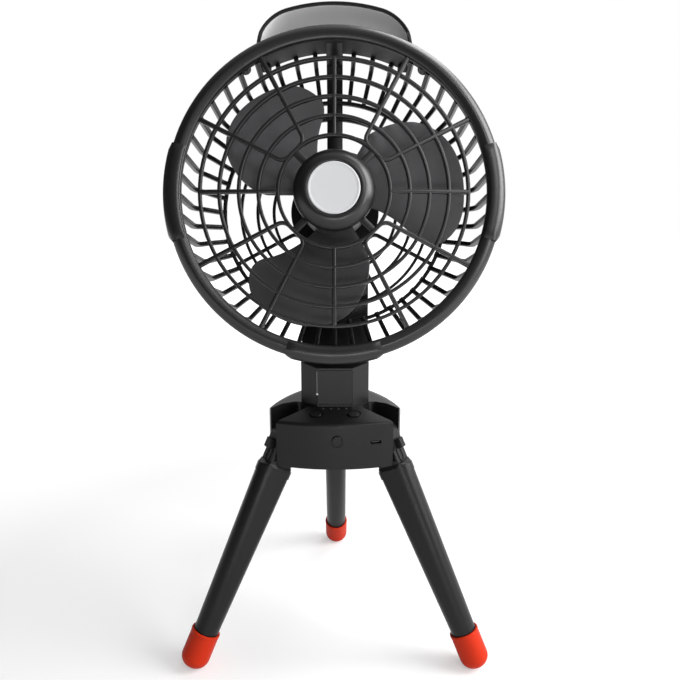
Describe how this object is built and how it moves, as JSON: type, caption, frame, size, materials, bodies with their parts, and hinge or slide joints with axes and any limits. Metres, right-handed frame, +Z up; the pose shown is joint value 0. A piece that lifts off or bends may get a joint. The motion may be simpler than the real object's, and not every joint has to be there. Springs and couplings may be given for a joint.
{
  "type": "portable camping fan",
  "caption": "Battery camping fan with a round caged head that tilts on a post over a three-sided base, folding tripod legs and a carrying handle.",
  "frame": {"origin": "on the floor under the middle of the fan's bounding box", "axes": "+X to the fan's left-hand side as it faces you (viewer's right), air blows to -Y, +Z up"},
  "size_m": [0.212, 0.1882, 0.4387],
  "materials": {
    "black_plastic": "satin moulded black plastic",
    "charcoal_plastic": "satin dark grey plastic",
    "orange_rubber": "bright orange-red moulded rubber",
    "badge_white": "plain satin white disc",
    "lens_white": "clear white lens",
    "circuit_board": "green solder mask",
    "cell_wrap": "green film over a metal can",
    "motor_can": "plain metal can",
    "steel": "plain steel"
  },
  "bodies": {
    "stand": {"base_shell": "black_plastic", "base_tray": "black_plastic", "leg_pins": "steel", "base_screws": "steel", "panel_board": "circuit_board", "power_board": "circuit_board", "indicator_lights": "lens_white", "usb_socket": "steel", "battery_cells": "cell_wrap", "post_housing": "black_plastic", "post_cover": "black_plastic", "tilt_pin": "steel", "tilt_caps": "charcoal_plastic"},
    "left_leg": {"leg_left": "black_plastic", "foot_left": "orange_rubber"},
    "right_leg": {"leg_right": "black_plastic", "foot_right": "orange_rubber"},
    "rear_leg": {"leg_rear": "black_plastic", "foot_rear": "orange_rubber"},
    "head": {"rear_guard": "black_plastic", "motor_cover": "black_plastic", "motor": "motor_can", "front_grille": "black_plastic", "hub_dome": "black_plastic", "badge_disc": "badge_white", "left_clip": "black_plastic", "right_clip": "black_plastic", "lower_clip": "black_plastic", "guard_screws": "steel", "handle_pins": "steel"},
    "rotor": {"fan_blades": "charcoal_plastic", "fan_shaft": "steel", "fan_nut": "steel"},
    "bail": {"handle": "black_plastic"},
    "left_key": {"left_button": "charcoal_plastic"},
    "right_key": {"right_button": "charcoal_plastic"},
    "power_key": {"power_button": "charcoal_plastic"}
  },
  "joints": [
    {"name": "left_leg_fold", "type": "hinge", "parent": "stand", "child": "left_leg", "pos_m": [-0.03377, -0.04624, 0.1562], "axis": [0.5, -0.866, 0], "range_deg": [0, 26]},
    {"name": "right_leg_fold", "type": "hinge", "parent": "stand", "child": "right_leg", "pos_m": [0.03377, -0.04624, 0.1562], "axis": [0.5, 0.866, 0], "range_deg": [0, 26]},
    {"name": "rear_leg_fold", "type": "hinge", "parent": "stand", "child": "rear_leg", "pos_m": [0, 0.01226, 0.1562], "axis": [-1, 0, 0], "range_deg": [0, 26]},
    {"name": "head_tilt", "type": "hinge", "parent": "stand", "child": "head", "pos_m": [0, -0.00594, 0.2709], "axis": [1, 0, 0], "range_deg": [-75, 11.6]},
    {"name": "rotor_spin", "type": "hinge", "parent": "head", "child": "rotor", "pos_m": [0, -0.05238, 0.31719], "axis": [0, 0.9796, -0.2011], "continuous": true},
    {"name": "handle_fold", "type": "hinge", "parent": "head", "child": "bail", "pos_m": [0, -0.02873, 0.40553], "axis": [-1, 0, 0], "range_deg": [-15, 50]},
    {"name": "left_button_press", "type": "slide", "parent": "stand", "child": "left_key", "axis": [0.0411, 0.3395, -0.9397], "range_m": [0, 0.0008], "stiffness_N_per_m": 900, "springref_m": -0.0006},
    {"name": "right_button_press", "type": "slide", "parent": "stand", "child": "right_key", "axis": [-0.0411, 0.3395, -0.9397], "range_m": [0, 0.0008], "stiffness_N_per_m": 900, "springref_m": -0.0006},
    {"name": "power_button_press", "type": "slide", "parent": "stand", "child": "power_key", "axis": [0, 1, 0], "range_m": [0, 0.0008], "stiffness_N_per_m": 900, "springref_m": -0.0006}
  ]
}
